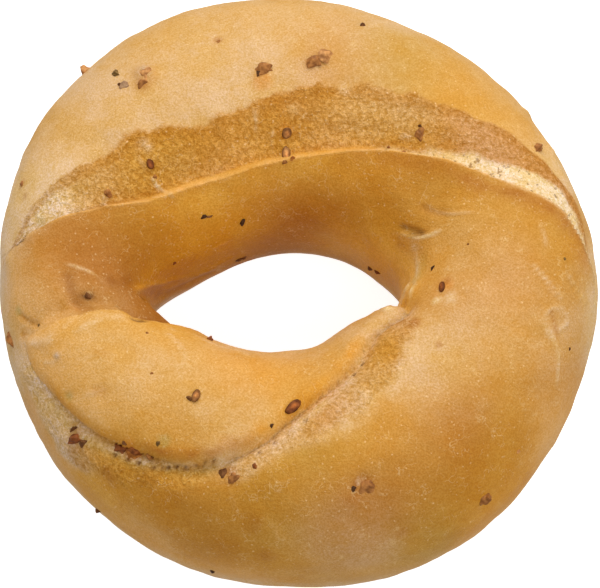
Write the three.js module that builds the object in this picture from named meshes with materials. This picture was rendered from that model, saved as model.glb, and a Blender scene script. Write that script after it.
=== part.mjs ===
// A hand-rolled bagel, baked as one piece: a rope of dough closed into a ring, with its tapered end
// lapped over its root at the front left, and a burst along the back where the skin split in the oven.
//
// Millimetres, +Z up. The bagel lies on its flat foot at z = 0, and the origin is the middle of its box
// at that height. The front of the ring faces -Y and the burst runs round the back, +Y.
//
// Two angles name a place on the skin. "around" runs round the ring: 0 at the right (+X), 90 at the back.
// "over" runs over the rope: 0 at the outer rim, 90 at the crown, 180 at the hole, 270 at the foot.

import * as THREE from "three";

// The rope's size at twelve stations, one every 30 degrees round the ring from the right:
// [hole radius from the middle of the hole, rim radius from the middle of the ring, crown height].
const STATIONS = [
  [22.5, 54.5, 37],
  [18.8, 54.5, 37],
  [15.2, 56, 37],
  [13, 58.5, 37],
  [13, 60.3, 36.5],
  [16, 58.6, 35],
  [23, 55, 34],
  [15.5, 54.5, 36],
  [13, 55, 38],
  [12, 55, 38],
  [12.5, 55.5, 37.5],
  [14.2, 54, 37],
];
const HOLE_CENTRE = new THREE.Vector2(-4.3, -2); // the hole sits left of the middle and a little forward
const SQUARENESS = 2.2; // superellipse power of the rope's section, where 2 is an ellipse
const BELLY_SHARE = 0.46; // height of the widest place, as a share of the crown height
const UNDER_DEPTH = 24; // how far the round section would reach below the belly, had it not sat down flat

// The lip is the torn edge of the skin, as [around, over], from the right rim over the back to the left
// rim. The skin on its hole side stands proud and the burst on its outer side is sunk.
const LIP_LINE = [
  [-6, 25],
  [1, 33],
  [7, 43],
  [13, 55],
  [19, 74],
  [29, 90],
  [44, 107],
  [66, 121],
  [80, 126],
  [100, 129],
  [124, 129],
  [150, 118],
  [162, 100],
  [169, 80],
  [174, 58],
  [179, 24],
];
const LIP_HEIGHT = 0.7; // rise at the lip, which fades towards the hole
const LIP_FADE = 9;
const LIP_FACE = 1.4; // width of the torn face between the lip and the burst
const BURST_DEPTH = 1.3; // drop behind the lip, which fades towards the rim
const BURST_WIDTH = 10;
const LIP_TAPER = 18; // the lip dies away over this length at either end

// The lap is the tapered end of the rope. Its front edge runs from the left tip over the crown to the
// hole, its heel goes down inside the hole and back under the rope, and its side climbs to the tip again.
const LAP_FRONT = [
  [197, 38],
  [206, 36],
  [220, 43],
  [234, 54],
  [247, 62],
  [261, 81],
  [275, 99],
  [290, 111],
  [305, 120],
  [322, 129],
  [340, 132],
];
const LAP_HEEL = [
  [348, 152],
  [350, 190],
  [344, 225],
  [310, 248],
  [240, 248],
];
const LAP_SIDE = [
  [214, 226],
  [208, 190],
  [204, 140],
  [197, 107],
  [196, 80],
  [196, 58],
];
const LAP_EDGE = 2.2; // drop from the lapped end's skin to the crease at its edge
const LAP_SHOULDER = 5; // the end rounds down to the crease over this width
const LAP_BED = 4; // the rope under it rises out of the crease over this width

// The skin is a grid of corners. One row of it follows the lip and then the lap's front edge, two rows
// follow the two edges of the foot, and one column follows the lap's side.
const STEPS_ROUND = 112;
const STEPS_UP_SIDE = 21; // from an edge of the foot up to the row along the lip and the lap
const STEPS_UNDER_FOOT = 4;
const STEPS_OVER = 2 * STEPS_UP_SIDE + STEPS_UNDER_FOOT;
const ROW_GATHER = 0.6; // how much closer the rows lie by the lip and the lap, from 0 to 1
const COLUMN_GATHER = 0.5; // how much closer the columns lie by the lap's side
const SIDE_AROUND = 200;
const RELIEF_FLOOR = 11; // the relief dies away below this height, so that the foot keeps its edge

const CRUST = new THREE.MeshStandardMaterial({
  name: "crust",
  color: 0xd59d52,
  roughness: 0.55,
  metalness: 0,
});

const sizes = new THREE.CatmullRomCurve3(
  STATIONS.map(([hole, rim, crown]) => new THREE.Vector3(hole, rim, crown)),
  true,
  "catmullrom",
);

/** An angle brought into one turn that starts at a given angle. */
function wrap(angle, start) {
  return THREE.MathUtils.euclideanModulo(angle - start, 360) + start;
}

/** A sine or cosine pulled outwards, so that a circle becomes a superellipse. */
function squared(value) {
  return Math.sign(value) * Math.abs(value) ** (2 / SQUARENESS);
}

/** The point on the plain rope, without its lap and lip, at an angle round and an angle over. */
function ropePoint(around, over) {
  const turn = THREE.MathUtils.degToRad(around);
  const roll = THREE.MathUtils.degToRad(over);
  const size = sizes.getPoint(wrap(around, 0) / 360);
  const outwards = new THREE.Vector2(Math.cos(turn), Math.sin(turn));
  const holeEdge = outwards.clone().multiplyScalar(size.x).add(HOLE_CENTRE);
  const rim = outwards.clone().multiplyScalar(size.y);
  const plan = holeEdge.lerp(rim, (1 + squared(Math.cos(roll))) / 2);
  const belly = BELLY_SHARE * size.z;
  const rise = squared(Math.sin(roll));
  const height = belly + rise * (rise > 0 ? size.z - belly : UNDER_DEPTH);
  return new THREE.Vector3(plan.x, plan.y, Math.max(height, 0));
}

/** The rope's outward normal, from its points a little to either side. */
function ropeNormal(around, over) {
  const step = 0.5;
  const along = ropePoint(around + step, over).sub(ropePoint(around - step, over));
  const across = ropePoint(around, over + step).sub(ropePoint(around, over - step));
  return along.cross(across).normalize();
}

/** The angle over the rope at which its hole side reaches the foot. */
function footOver(around) {
  const crown = sizes.getPoint(wrap(around, 0) / 360).z;
  const drop = ((BELLY_SHARE * crown) / UNDER_DEPTH) ** (SQUARENESS / 2);
  return 180 + THREE.MathUtils.radToDeg(Math.asin(drop));
}

/** A smooth line through [around, over] places, as closely spaced places in order. */
function drawLine(places, closed) {
  const corners = places.map(([around, over]) => new THREE.Vector3(around, over, 0));
  return new THREE.CatmullRomCurve3(corners, closed).getSpacedPoints(500);
}

const lipPlaces = drawLine(LIP_LINE, false);
const lapPlaces = drawLine([...LAP_FRONT, ...LAP_HEEL, ...LAP_SIDE], true);
const lipPoints = lipPlaces.map(({ x, y }) => ropePoint(x, y));
const lapPoints = lapPlaces.map(({ x, y }) => ropePoint(x, y));

// The row follows most of the lip and of the lap's front edge, and crosses between them at the right.
const ROW_CROSSING = [
  [340, 110],
  [356, 70],
  [367, 43],
];
const rowPlaces = drawLine([...LIP_LINE.slice(2), ...LAP_FRONT.slice(0, -1), ...ROW_CROSSING], false);
const sidePlaces = drawLine([LAP_FRONT[0], ...LAP_SIDE.toReversed()], false);

/** A line's angle over the rope, at an angle round the ring. */
function overAt(places, around) {
  const wanted = wrap(around, places[0].x);
  const i = Math.max(places.findIndex(({ x }) => x >= wanted), 1);
  const [from, to] = [places[i - 1], places[i]];
  return THREE.MathUtils.mapLinear(wanted, from.x, to.x, from.y, to.y);
}

/** The lap's side: its angle round the ring, at an angle over the rope. */
function sideAround(over) {
  const wanted = wrap(over, sidePlaces[0].y);
  const i = sidePlaces.findIndex(({ y }) => y >= wanted);
  if (i > 0) return sidePlaces[i].x;
  const [top, bottom] = [sidePlaces[0], sidePlaces.at(-1)];
  return THREE.MathUtils.mapLinear(wanted, bottom.y, top.y + 360, bottom.x, top.x);
}

/** How far off the nearest of a line's points is, and which one it is. */
function nearest(points, target) {
  let index = 0;
  let distance = Infinity;
  points.forEach((point, i) => {
    const here = point.distanceTo(target);
    if (here >= distance) return;
    index = i;
    distance = here;
  });
  return { index, distance };
}

/** Whether a place lies inside the lap's outline, by counting the outline's crossings to one side. */
function isOnLap(around, over) {
  let inside = false;
  lapPlaces.forEach((end, i) => {
    const start = lapPlaces.at(i - 1);
    if (start.y > over === end.y > over) return;
    const crossing = THREE.MathUtils.mapLinear(over, start.y, end.y, start.x, end.x);
    if (around < crossing) inside = !inside;
  });
  return inside;
}

/** How far the lip and the burst behind it move the skin. */
function lipRelief(point, around, over) {
  const { index, distance } = nearest(lipPoints, point);
  const start = lipPoints[index].distanceTo(lipPoints[0]);
  const end = lipPoints[index].distanceTo(lipPoints.at(-1));
  const strength = THREE.MathUtils.smoothstep(Math.min(start, end), 0, LIP_TAPER);
  const above = wrap(over - overAt(lipPlaces, around), 0);
  if (above < 180) return strength * LIP_HEIGHT * Math.exp(-distance / LIP_FADE);
  const burst = -BURST_DEPTH * Math.exp(-((distance / BURST_WIDTH) ** 2));
  const face = THREE.MathUtils.smoothstep(distance, 0, LIP_FACE);
  return strength * THREE.MathUtils.lerp(LIP_HEIGHT, burst, face);
}

/** How far the crease round the lapped end moves the skin, with a round shoulder on the lap's side. */
function lapRelief(point, around, over) {
  const { distance } = nearest(lapPoints, point);
  if (!isOnLap(wrap(around, 0), wrap(over, 0))) return -LAP_EDGE * Math.exp(-distance / LAP_BED);
  const inwards = Math.min(distance / LAP_SHOULDER, 1);
  return -LAP_EDGE * (1 - Math.sqrt(1 - (1 - inwards) ** 2));
}

/** The finished skin. The foot stays flat: nothing there moves, and nothing goes below it. */
function skinPoint(around, over) {
  const point = ropePoint(around, over);
  if (point.z === 0) return point;
  const strength = THREE.MathUtils.smoothstep(point.z, 0, RELIEF_FLOOR);
  const relief = lapRelief(point, around, over) + lipRelief(point, around, over);
  point.addScaledVector(ropeNormal(around, over), strength * relief);
  point.z = Math.max(point.z, 0);
  return point;
}

/** The place of a grid corner, from its share of the way round and its share of the way over. */
function gridPlace(roundShare, overShare) {
  const turn = 2 * Math.PI * roundShare;
  const away = 360 * roundShare - THREE.MathUtils.radToDeg(COLUMN_GATHER * Math.sin(turn));
  const plain = SIDE_AROUND + away;
  const plainOver = gridOver(plain, overShare);
  const bend = (sideAround(plainOver) - SIDE_AROUND) * (0.5 + 0.5 * Math.cos(THREE.MathUtils.degToRad(away)));
  return [plain + bend, gridOver(plain + bend, overShare)];
}

/** A grid corner's angle over the rope: up one side of the foot to the row, and down the other. */
function gridOver(around, overShare) {
  const step = Math.round(overShare * STEPS_OVER);
  const row = overAt(rowPlaces, around);
  const foot = footOver(around);
  if (step <= STEPS_UP_SIDE) return row + (foot - row) * gather(step / STEPS_UP_SIDE);
  const left = STEPS_OVER - step;
  if (left <= STEPS_UP_SIDE) return row + 360 + (180 - foot - row) * gather(left / STEPS_UP_SIDE);
  return THREE.MathUtils.mapLinear(step, STEPS_UP_SIDE, STEPS_OVER - STEPS_UP_SIDE, foot, 540 - foot);
}

/** A share from 0 to 1 whose steps lie closer at its start. */
function gather(share) {
  return share - ROW_GATHER * share * (1 - share);
}

/** A torus carries the grid: each of its corners is moved to the place on the skin that its uv names. */
function makeBagel() {
  const geometry = new THREE.TorusGeometry(40, 18, STEPS_OVER, STEPS_ROUND);
  const corners = geometry.getAttribute("position");
  const shares = geometry.getAttribute("uv");
  for (let i = 0; i < corners.count; i += 1) {
    const point = skinPoint(...gridPlace(shares.getX(i), shares.getY(i)));
    corners.setXYZ(i, point.x, point.y, point.z);
  }
  geometry.computeVertexNormals();
  geometry.computeBoundingBox();
  const middle = geometry.boundingBox.getCenter(new THREE.Vector3());
  const bagel = new THREE.Mesh(geometry, CRUST);
  bagel.name = "bagel";
  bagel.position.set(-middle.x, -middle.y, 0);
  return bagel;
}

const part = new THREE.Group();
part.add(makeBagel());

export default part;
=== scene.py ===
import math
import bpy
import numpy as np
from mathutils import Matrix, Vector, kdtree, noise


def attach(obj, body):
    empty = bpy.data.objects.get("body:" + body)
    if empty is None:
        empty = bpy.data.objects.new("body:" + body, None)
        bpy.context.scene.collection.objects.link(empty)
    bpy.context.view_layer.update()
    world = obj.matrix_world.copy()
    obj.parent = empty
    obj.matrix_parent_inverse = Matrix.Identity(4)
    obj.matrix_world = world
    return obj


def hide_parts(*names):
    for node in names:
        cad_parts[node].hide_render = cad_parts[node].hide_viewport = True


# A hand-rolled bagel on a white light table. Sizes are in millimetres until a mesh is made.
# Two angles name a place on the crust, as in the part: "around" runs round the ring, 0 at the right and
# 90 at the back, and "over" runs over the rope, 0 at the outer rim, 90 at the crown, 180 at the hole.

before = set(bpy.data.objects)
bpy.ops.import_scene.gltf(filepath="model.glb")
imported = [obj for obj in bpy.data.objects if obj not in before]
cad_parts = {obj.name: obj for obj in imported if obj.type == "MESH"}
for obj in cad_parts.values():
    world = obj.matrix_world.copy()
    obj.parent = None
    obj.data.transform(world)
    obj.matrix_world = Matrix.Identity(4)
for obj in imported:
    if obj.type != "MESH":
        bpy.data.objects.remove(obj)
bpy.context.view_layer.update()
print("frame loaded")


def toLinear(hexColour, alpha=1.0):
    parts = [int(hexColour[i:i + 2], 16) / 255 for i in (1, 3, 5)]
    return [c / 12.92 if c <= 0.04045 else ((c + 0.055) / 1.055) ** 2.4 for c in parts] + [alpha]


def addNode(tree, kind, settings=None, links=None):
    node = tree.nodes.new(kind)
    for name, value in (settings or {}).items():
        if isinstance(name, int) or name in node.inputs.keys():
            node.inputs[name].default_value = value
        else:
            setattr(node, name, value)
    for name, source in (links or {}).items():
        tree.links.new(source, node.inputs[name])
    return node


def perMetre(sizeMm):
    return 1000 / sizeMm  # a texture's Scale, from the size of its features


mixShare, mixFirst, mixSecond, mixed = 0, 6, 7, 2  # a colour Mix node's sockets, whose names are not unique


rope = {
    # [hole radius, rim radius, crown height] every 30 degrees round from the right
    "stations": [
        [22.5, 54.5, 37], [18.8, 54.5, 37], [15.2, 56, 37], [13, 58.5, 37],
        [13, 60.3, 36.5], [16, 58.6, 35], [23, 55, 34], [15.5, 54.5, 36],
        [13, 55, 38], [12, 55, 38], [12.5, 55.5, 37.5], [14.2, 54, 37],
    ],
    "holeCentre": (-4.3, -2.0),
    "ringMiddle": (-0.33, 1.81),  # middle of the whole box, which is the frame's origin
    "squareness": 2.2,            # 2 is an elliptical section
    "bellyShare": 0.46,
    "underDepth": 24,             # the section would go on this far under the widest line
    "columns": 512,
    "rowsUpSide": 82,
    "rowsUnderFoot": 14,
    "rowGather": 0.45,            # how much closer the rows lie by the lip and the lap
    "columnGather": 0.3,
    "sideAround": 200,            # the column of corners that follows the lap's side
}

# lines on the crust, as (around, over)

lipLine = [
    (-7, 15), (-3, 23), (1.5, 33), (6, 41), (10, 50), (13.5, 62), (17.5, 75), (22, 84), (30, 93),
    (44, 107), (66, 121), (80, 126), (100, 129), (124, 129), (150, 118), (162, 100), (169, 80), (174, 58),
    (179, 24),
]
burstLine = [  # the outer bound of the burst band behind the lip
    (-6, 16), (3, 22), (10, 26), (16.5, 33), (24, 48), (34, 63), (46, 77), (58, 85), (72, 89), (83, 94),
    (95, 97), (107.5, 102), (120, 103), (135, 92), (146.5, 86), (156.7, 77), (163.5, 63), (170, 48),
    (179, 20),
]
lapFront = [
    (197, 38), (206, 36), (220, 43), (234, 54), (247, 62), (261, 81), (275, 99), (290, 111),
    (305, 120), (322, 129), (340, 132),
]
lapHeel = [(348, 152), (350, 190), (344, 225), (310, 248), (240, 248)]
lapSide = [(214, 226), (208, 190), (204, 140), (197, 107), (196, 80), (196, 58)]
rowCrossing = [(340, 110), (356, 76), (370, 50)]
bedLine = [  # the outer bound of the torn bed in front of the lap
    (195, 24), (202, 19), (210, 14), (216.5, 10), (223, 12), (231, 29), (239.5, 40), (250.5, 55), (258, 62),
    (264, 74), (273, 82), (283, 87), (296, 92), (307, 95), (319, 102), (329, 108), (343, 123),
]
crumbLine = [  # the outer bound of the bare crumb beside the lip at the right
    (-7, 12), (0, 17), (7, 27), (14, 37), (19, 48), (22.5, 64), (29, 82), (36.5, 94), (44, 103), (52, 111),
    (60, 118),
]


def curveThrough(a, b, c, d, f):
    # from b to c, on a smooth curve through all four
    square = (2 * a - 5 * b + 4 * c - d) * f ** 2
    cube = (3 * b - a - 3 * c + d) * f ** 3
    return 0.5 * (2 * b + (c - a) * f + square + cube)


def drawLine(places, closed=False, count=500):
    keys = np.array(places, float)
    n = len(keys)
    if closed:
        keys = np.vstack([keys[-1], keys, keys[0], keys[1]])
        spans = n
    else:
        keys = np.vstack([2 * keys[0] - keys[1], keys, 2 * keys[-1] - keys[-2]])
        spans = n - 1
    stepsPerSpan = 40
    t = np.linspace(0, spans, stepsPerSpan * spans + 1)
    i = np.minimum(t.astype(int), spans - 1)
    fine = curveThrough(keys[i], keys[i + 1], keys[i + 2], keys[i + 3], (t - i)[:, None])
    steps = np.hypot(*np.diff(fine, axis=0).T)
    run = np.concatenate([[0], np.cumsum(steps)])
    even = np.linspace(0, run[-1], count)
    return np.column_stack([np.interp(even, run, fine[:, k]) for k in range(fine.shape[1])])


def stationSizes(around):
    keys = np.array(rope["stations"], float)
    count = len(keys)
    t = (around % 360) / (360 / count)
    i = np.floor(t).astype(int)
    before, here, after, beyond = ((i + k) % count for k in (-1, 0, 1, 2))
    return curveThrough(keys[before], keys[here], keys[after], keys[beyond], (t - i)[:, None])


def pulled(value):
    return np.sign(value) * np.abs(value) ** (2 / rope["squareness"])


def ropePoint(around, over):
    around, over = np.broadcast_arrays(np.atleast_1d(np.asarray(around, float)), np.asarray(over, float))
    size = stationSizes(around)
    turn, roll = np.radians(around), np.radians(over)
    outwards = np.column_stack([np.cos(turn), np.sin(turn)])
    holeEdge = outwards * size[:, :1] + rope["holeCentre"]
    rim = outwards * size[:, 1:2]
    share = ((1 + pulled(np.cos(roll))) / 2)[:, None]
    plan = holeEdge + (rim - holeEdge) * share - rope["ringMiddle"]
    belly = rope["bellyShare"] * size[:, 2]
    rise = pulled(np.sin(roll))
    height = belly + rise * np.where(rise > 0, size[:, 2] - belly, rope["underDepth"])
    return np.column_stack([plan, np.maximum(height, 0)])


def ropeNormal(around, over):
    step = 0.5  # degrees
    along = ropePoint(around + step, over) - ropePoint(around - step, over)
    across = ropePoint(around, over + step) - ropePoint(around, over - step)
    normal = np.cross(along, across)
    nonZero = 1e-9
    return normal / np.maximum(np.linalg.norm(normal, axis=1), nonZero)[:, None]


def overAt(line, around):
    start = line[0, 0]
    return np.interp((around - start) % 360 + start, line[:, 0], line[:, 1])


def smoothStep(value, low, high):
    t = np.clip((value - low) / (high - low), 0, 1)
    return t * t * (3 - 2 * t)


def footOver(around):
    # where the rope meets the table, on the hole's side
    drop = (rope["bellyShare"] * stationSizes(around)[:, 2] / rope["underDepth"]) ** (rope["squareness"] / 2)
    return 180 + np.degrees(np.arcsin(drop))


lip = drawLine(lipLine)
burst = drawLine(burstLine)
lap = drawLine(lapFront + lapHeel + lapSide, closed=True)
lapEdgeLine = drawLine(lapFront)
bedEdge = drawLine(bedLine)
crumb = drawLine(crumbLine)
# one row of the grid's corners follows the lip and the lap's front, and one column the lap's side
guideRow = drawLine(lipLine[4:] + lapFront[:-1] + rowCrossing)
sideColumn = drawLine([lapFront[0]] + lapSide[::-1])


def gridOver(around, overShare):
    up, rows = rope["rowsUpSide"], 2 * rope["rowsUpSide"] + rope["rowsUnderFoot"]
    step = np.round(overShare * rows)
    row, foot = overAt(guideRow, around), footOver(around)

    def gather(share):
        return share - rope["rowGather"] * share * (1 - share)

    holeSide = row + (foot - row) * gather(step / up)
    rimSide = row + 360 + (180 - foot - row) * gather((rows - step) / up)
    under = foot + (540 - 2 * foot) * (step - up) / rope["rowsUnderFoot"]
    return np.where(step <= up, holeSide, np.where(rows - step <= up, rimSide, under))


def gridPlace(roundShare, overShare):
    turn = 2 * np.pi * roundShare
    away = 360 * roundShare - np.degrees(rope["columnGather"] * np.sin(turn))
    plain = rope["sideAround"] + away
    start = sideColumn[0, 1]
    wanted = (gridOver(plain, overShare) - start) % 360 + start
    ends = np.vstack([sideColumn, [sideColumn[0, 0], start + 360]])
    side = np.interp(wanted, ends[:, 1], ends[:, 0])
    around = plain + (side - rope["sideAround"]) * (0.5 + 0.5 * np.cos(np.radians(away)))
    return around % 360, gridOver(around, overShare) % 360


def makeGrid():
    bpy.ops.object.select_all(action="DESELECT")
    columns, rows = rope["columns"], 2 * rope["rowsUpSide"] + rope["rowsUnderFoot"]
    ringRadius, tubeRadius = 0.04, 0.018  # only a start: each corner is moved to its place on the rope
    bpy.ops.mesh.primitive_torus_add(
        major_segments=columns // 2, minor_segments=rows // 2,
        major_radius=ringRadius, minor_radius=tubeRadius)
    bagel = bpy.context.object
    bagel.name = bagel.data.name = "bagelCrust"
    bpy.ops.object.mode_set(mode="EDIT")
    bpy.ops.mesh.subdivide(number_cuts=1)
    bpy.ops.object.mode_set(mode="OBJECT")
    co = np.empty(len(bagel.data.vertices) * 3)
    bagel.data.vertices.foreach_get("co", co)
    co = co.reshape(-1, 3)
    roundShare = (np.arctan2(co[:, 1], co[:, 0]) / (2 * np.pi)) % 1
    overShare = (np.arctan2(co[:, 2], np.hypot(co[:, 0], co[:, 1]) - ringRadius) / (2 * np.pi)) % 1
    roundShare = np.round(roundShare * columns) / columns % 1
    overShare = np.round(overShare * rows) / rows % 1
    around, over = gridPlace(roundShare, overShare)
    return bagel, around, over


bagel, around, over = makeGrid()
plain = ropePoint(around, over)
normal = ropeNormal(around, over)
print("grid", len(plain), "corners")

corners = kdtree.KDTree(len(plain))
for i, p in enumerate(plain):
    corners.insert(p, i)
corners.balance()


def reachLine(line, reach):
    # each corner's distance from a line, and how far along the line it is, from 0 to 1
    points = ropePoint(line[:, 0], line[:, 1])
    gap = np.full(len(plain), np.inf)
    share = np.zeros(len(plain))
    for k, p in enumerate(points):
        found = corners.find_range(p, reach)
        if not found:
            continue
        index = np.array([f[1] for f in found])
        here = np.array([f[2] for f in found])
        nearer = here < gap[index]
        gap[index[nearer]] = here[nearer]
        share[index[nearer]] = k / (len(points) - 1)
    return gap, share


def reachPoint(place, reach):
    p = ropePoint(place[0], place[1])[0]
    gap = np.full(len(plain), np.inf)
    for _, index, here in corners.find_range(p, reach):
        gap[index] = here
    return gap


def insideLine(line, x, y):
    inside = np.zeros(len(x), bool)
    for (x0, y0), (x1, y1) in zip(line, np.roll(line, -1, axis=0)):
        if y0 == y1:
            continue
        crosses = (y0 > y) != (y1 > y)
        inside ^= crosses & (x < x0 + (y - y0) * (x1 - x0) / (y1 - y0))
    return inside


def noiseField(sizeMm, octaves, offset):
    shift = Vector((offset, offset, offset))
    return np.array([noise.fractal(Vector(p / sizeMm) + shift, 1.0, 2.0, octaves) for p in plain])


def span(first, last, edge=3):
    # 1 from the first angle round the ring to the last, and 0 elsewhere
    middle, half = (first + last) / 2, (last - first) / 2
    away = np.abs((around - middle + 180) % 360 - 180)
    return 1 - smoothStep(away, half - edge, half + edge)


unevenness = {
    # (size mm, octaves, offset)
    "fine": (1.1, 2, 0), "small": (2.6, 3, 7), "mid": (6, 2, 3), "broad": (16, 2, 11),
}
fineNoise, smallNoise, midNoise, broadNoise = (noiseField(*field) for field in unevenness.values())

creaseReach = 16  # relief beside the lip and the lap is worked out this far, in mm
onLap = insideLine(lap, around, over)
lapGap, _ = reachLine(lap, creaseReach)
lipGap, lipShare = reachLine(lip, creaseReach)
aboveLip = (over - overAt(lip, around)) % 360 < 180
behindLip = ~aboveLip & (over < overAt(lip, around))

lapForm = {
    "frontEdge": 2.2,          # drop from the lapped end to the crease at its edge
    "sideEdge": 0.5,
    "heelEdge": 2.2,
    "sideStart": (192, 196),   # round the ring, where the drop becomes the side's
    "sideEnd": (203, 212),
    "heelStart": (112, 140),   # over the rope, where it becomes the heel's
    "heelEnd": 260,
    "shoulder": 3.2,           # the end rounds down to the crease over this width
    "bed": 2.4,                # and the rope under it rises out again over this one
    "floor": 11,               # relief dies away below this height, so that the foot keeps its edge
}
sidePart = smoothStep(around, *lapForm["sideStart"]) * (1 - smoothStep(around, *lapForm["sideEnd"]))
sidePart = sidePart * (over < lapForm["heelStart"][0])
heelPart = smoothStep(over, *lapForm["heelStart"]) * (over < lapForm["heelEnd"])
lapEdge = lapForm["frontEdge"] + (lapForm["sideEdge"] - lapForm["frontEdge"]) * sidePart
lapEdge += (lapForm["heelEdge"] - lapEdge) * heelPart
gap = np.minimum(lapGap, creaseReach)
inwards = np.minimum(gap / lapForm["shoulder"], 1)
outside = np.exp(-(gap / lapForm["bed"]) ** 1.5)
lapRelief = -lapEdge * np.where(onLap, 1 - np.sqrt(1 - (1 - inwards) ** 2), outside)

lipForm = {
    "height": 0.75,     # the torn skin stands this proud of the hole side
    "fade": 5,
    "face": 0.45,       # width of the torn face
    "burstDepth": 1.0,  # drop behind it
    "burstWidth": 6.5,
    "burstReach": 9,    # no relief much further behind than this
    "taper": 0.05,      # share of the lip over which either end dies away
}
gap = np.minimum(lipGap, creaseReach)
lipStrength = smoothStep(np.minimum(lipShare, 1 - lipShare), 0, lipForm["taper"])
drop = lipForm["height"] + lipForm["burstDepth"] * np.exp(-(gap / lipForm["burstWidth"]) ** 2)
holeSide = lipForm["height"] * np.exp(-(gap / lipForm["fade"]) ** 1.5)
burstSide = lipForm["height"] - drop * smoothStep(gap, 0, lipForm["face"])
burstSide = burstSide * np.exp(-(gap / lipForm["burstReach"]) ** 4)
lipRelief = lipStrength * np.where(aboveLip, holeSide, burstSide)

# places where the skin tore: the burst, the bed in front of the lap, and the bare crumb at the right
tearForm = {
    "smallWander": 1.4,          # degrees that unevenness moves a tear's bound
    "midWander": 3.5,
    "burstAround": (-4, 177),    # first and last angle round the ring
    "bedAround": (199, 342, 2),
    "crumbAround": (-6, 58, 5),
    "burstFade": (-0.7, 1.1),    # degrees over the rope in which the skin gives way
    "bedFade": (-3, 5),
    "crumbFade": (-3, 4),
    "lipFade": (0.3, 1.0),       # mm from the lip
    "bedShare": 0.85,            # the bed is less torn than the burst,
    "crumbShare": 0.5,           # and the bare crumb is smoother
}
wander = tearForm["smallWander"] * smallNoise + tearForm["midWander"] * midNoise
inBurst = smoothStep(over + wander - overAt(burst, around), *tearForm["burstFade"])
inBurst *= behindLip * span(*tearForm["burstAround"]) * smoothStep(lipGap, *tearForm["lipFade"])
inBed = smoothStep(over + wander - overAt(bedEdge, around), *tearForm["bedFade"])
inBed *= (over < overAt(lapEdgeLine, around)) * span(*tearForm["bedAround"]) * ~onLap
inCrumb = smoothStep(over + wander - overAt(crumb, around), *tearForm["crumbFade"])
inCrumb *= behindLip * span(*tearForm["crumbAround"])
torn = np.clip(inBurst + tearForm["bedShare"] * inBed, 0, 1) * (1 - tearForm["crumbShare"] * inCrumb)

roughness = {
    # height in mm of each size of unevenness
    "mid": 0.22, "broad": 0.4, "tornFine": 0.14, "tornSmall": 0.2, "skinFine": 0.03, "skinSmall": 0.05,
}
height = lapRelief + lipRelief + roughness["mid"] * midNoise + roughness["broad"] * broadNoise
tornFace = roughness["tornFine"] * fineNoise + roughness["tornSmall"] * smallNoise
skinFace = roughness["skinFine"] * fineNoise + roughness["skinSmall"] * smallNoise
height += torn * tornFace + (1 - torn) * skinFace
print("relief done")

crustColours = {
    "bisque": "#e2bc8a", "crumb": "#edd09c", "cream": "#d5a970", "biscuit": "#d1a05b", "apricot": "#e1a75a",
    "straw": "#d0963e", "saffron": "#dea03a", "custard": "#f0b644", "ember": "#c98610", "honey": "#d5922f",
    "gold": "#c3872b", "olive": "#bf903a", "rose": "#c88f4e", "amber": "#b87a28", "toffee": "#a96623",
    # the two darkest browns on the next line are painted shade, laid in pits, creases and pores
    "chestnut": "#8f5520", "pitShade": "#63381a", "deepShade": "#352012", "moss": "#b0954e", "ash": "#cba67c",
    "glow": "#d9862c",
}
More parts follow.
